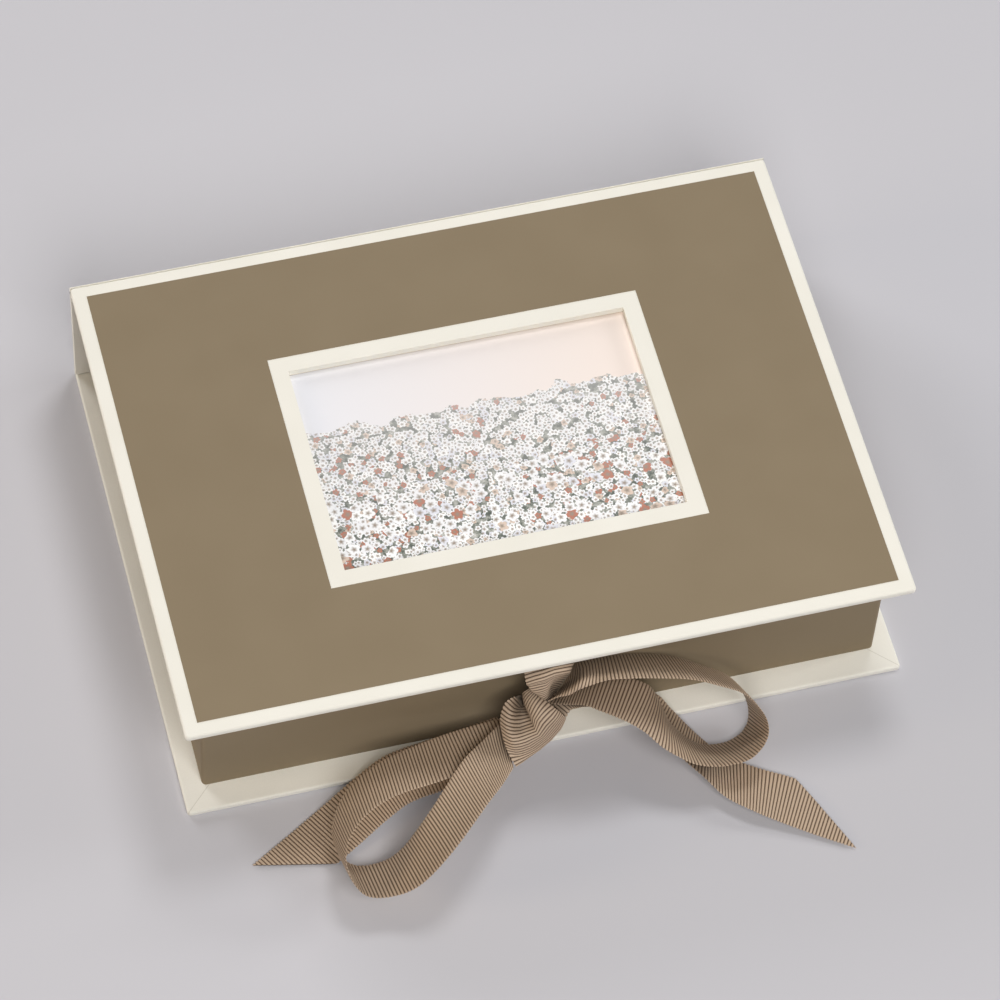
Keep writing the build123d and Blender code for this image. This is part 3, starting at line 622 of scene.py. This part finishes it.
# round the knot once: out of its middle, over the front, under and up the back
knotRows = [
    [(-7.5, 9.5, 2), (-6, 7.5, -2), (-5, 5.5, -5), (-4.5, 7.5, -3),
     (-4.5, 10.5, 3), (-3.5, 11.5, 5), (-2, 12.5, 6)],
    [(-10.5, 7.5, 3), (-8, 5.2, 2.6), (-5.5, 4.5, -2.5), (-3, 4.8, -0.8),
     (-3.8, 7, 5), (-2.5, 9.5, 7), (-0.5, 11.5, 6.6)],
    [(-12, 4, 3), (-9, 2, 4), (-5.5, 1.7, 0.6), (-2, 2.6, 1),
     (-2.5, 4.6, 6.8), (-1, 8, 8.3), (1, 10.5, 7)],
    [(-12.5, 1, 3), (-9.5, -1, 4.9), (-5.5, -1.5, 2), (-1, 0.1, 2.4),
     (-1, 2.2, 7.8), (1, 6, 8.8), (3, 8.5, 7)],
    [(-12, -2.5, 3.4), (-8.5, -4.5, 5.4), (-4.5, -4, 3.6), (0, -2.3, 4),
     (0.8, 0.8, 7.6), (3.5, 4, 7.8), (6, 6, 6.2)],
    [(-11, -6.5, 3.6), (-7.5, -7.5, 4.6), (-3, -6.5, 3.3), (1.3, -4.2, 3.4),
     (3.6, -0.9, 5.2), (6.6, 2.3, 5.6), (8, 4.5, 4.8)],
    [(-9.5, -10.5, 3.4), (-5.5, -10.5, 2), (-0.5, -8.5, -0.5), (4, -5, -1),
     (7, -1.5, 0), (9, 1.5, 2.2), (10, 2.5, 3)],
    [(-7, -15, 2.6), (-2.5, -12, -1.5), (2, -9, -5), (5.5, -6, -5.5),
     (8.5, -2.5, -4), (9.8, 0.1, -1.3), (10.6, 2, 0)],
    [(-6.6, -13.4, -1), (-2.5, -9.8, -7), (1, -6.8, -10), (4, -3.8, -10),
     (6.5, -0.8, -8), (8.4, 1, -5), (9.5, 2.2, -2.5)],
    [(-8, -8.5, -4), (-4, -5.5, -10), (-0.5, -2.5, -13), (2.8, 0, -13),
     (5, 2.3, -10), (6.4, 3.6, -7.5), (7.4, 4.2, -5)],
    [(-9, -2.5, -5), (-6, 0, -10), (-2.5, 2.5, -12), (0.5, 4.5, -12),
     (2.5, 6, -10), (4, 7, -7), (5, 8, -4)],
    [(-8.5, 3, -4), (-6, 5, -7), (-4, 6.5, -8), (-2, 8, -8),
     (0, 9, -7), (1, 9.6, -4.5), (1.5, 9.8, -3)],
]
# from the lid's front edge into the knot, with a fold down its right half
lidRibbonFall = [
    [(-3.5, 15.5, 15), (-0.5, 16.5, 15.5), (3, 17.5, 16), (6.5, 18.8, 15.7),
     (9.5, 19.4, 15), (11.8, 19.8, 13), (12.6, 19.8, 10)],
    [(-2.5, 13.5, 13), (0.5, 14.3, 14), (3.5, 15, 14), (6.3, 16.8, 12.8),
     (9, 17.3, 11), (11, 17.4, 8), (11.5, 17.2, 4.5)],
    [(-1, 11.5, 11), (1.5, 12, 12), (4, 13, 12), (5.8, 15.2, 10),
     (7.8, 15.6, 7.5), (9.3, 15.4, 5), (10, 15, 2)],
    [(0.5, 10.5, 9), (2, 10.5, 9.8), (4, 11.5, 9.2), (5, 13.4, 7),
     (6.4, 13.8, 4.8), (7.8, 13.4, 3), (8.6, 13, 1)],
    [(2, 9, 6.8), (3, 9, 7), (4.5, 10.5, 6), (5.2, 11.5, 4),
     (6.2, 12, 2.4), (7.2, 12, 1), (7.8, 11.8, -0.5)],
    [(3, 7.5, 3), (4, 7.5, 3), (5, 8.5, 2.5), (5.6, 9.5, 1),
     (6.1, 10.3, 0), (6.8, 10.6, -1), (7.4, 10.8, -2)],
]

# where the two held ends come out of the box: the middle's X, and the height of the lid's end
heldEnds = {"lidX": -0.3, "lidHeight": 53.1, "baseX": -6.0}


def levelRows(middle, rows):
    # level rows of ribbon that run forwards: each row's Y, height and share of the full width
    side = np.linspace(-1, 1, 7) * ribbon["widthMm"] / 2
    return np.array([[(middle + x * share, y, z) for x in side] for y, z, share in rows])


lidRows = np.concatenate([
    levelRows(heldEnds["lidX"], [(y, heldEnds["lidHeight"], 1) for y in (-63.8, -78, -90)]),
    slantGrid(lidRibbonFall)])
baseRows = levelRows(heldEnds["baseX"], [
    (-67.7, 2.9, 1), (-80, 2.9, 1), (-90.5, 2.9, 1), (-93, 4.2, 1), (-94.7, 6.9, 0.95),
    (-96.5, 12, 0.8), (-99, 17, 0.65), (-102, 20.5, 0.5)])
rightLoopRows = np.concatenate([
    slantGrid(rightLoopStart), routeGrid(rightLoopRoute), slantGrid(rightLoopEnd)])
rightTailRows = np.concatenate([slantGrid(rightTailStart), routeGrid(rightTailRoute)])

# each tail's slanting cut: its tip and heel, in X and distance in front of the case, the side that
# falls away, and the share of the run's flat area that is left
tailCuts = {
    "bow_left_tail": {"tip": (-114.2, 24.6), "heel": (-82.8, 31.5), "away": (-0.2, -1, 0),
                      "left": 0.85},
    "bow_right_tail": {"tip": (95.2, 67.2), "heel": (82.5, 36.2), "away": (1, 0.4, 0),
                       "left": 0.85},
}


def cutTail(made, cut):
    # the run's mesh is cut by an upright plane through tip and heel, and the end is filled
    tip = Vector((cut["tip"][0], caseFront - cut["tip"][1], 0)) * mm
    heel = Vector((cut["heel"][0], caseFront - cut["heel"][1], 0)) * mm
    normal = (heel - tip).cross(Vector((0, 0, 1))).normalized()
    if normal.dot(Vector(cut["away"])) < 0:
        normal = -normal
    work = bmesh.new()
    work.from_mesh(made.data)
    everything = work.verts[:] + work.edges[:] + work.faces[:]
    done = bmesh.ops.bisect_plane(work, geom=everything, plane_co=tip, plane_no=normal,
                                  clear_outer=True)
    rim = [edge for edge in done["geom_cut"] if isinstance(edge, bmesh.types.BMEdge)]
    bmesh.ops.holes_fill(work, edges=rim)
    work.to_mesh(made.data)
    work.free()


# each run's grid of points, the CAD node it stands for, the body it moves with and how it is held
runs = {
    "ribbon_left_loop": (routeGrid(leftLoopRoute), "bow_left_loop", "case_base", "folded"),
    "ribbon_right_loop": (rightLoopRows, "bow_right_loop", "case_base", "folded"),
    "ribbon_left_tail": (routeGrid(leftTailRoute), "bow_left_tail", "case_base", "laid"),
    "ribbon_right_tail": (rightTailRows, "bow_right_tail", "case_base", "laid"),
    "ribbon_knot": (slantGrid(knotRows), "bow_knot", "case_base", "folded"),
    "ribbon_from_lid": (lidRows, "lid_ribbon", "lid", "folded"),
    "ribbon_from_base": (baseRows, "base_ribbon", "case_base", "folded"),
}
for name, (grid, node, body, lies) in runs.items():
    made, length = grosgrainPiece(name, grid)
    if node in tailCuts:
        cutTail(made, tailCuts[node])
    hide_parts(node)
    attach(made, body)
print("ribbon runs made")
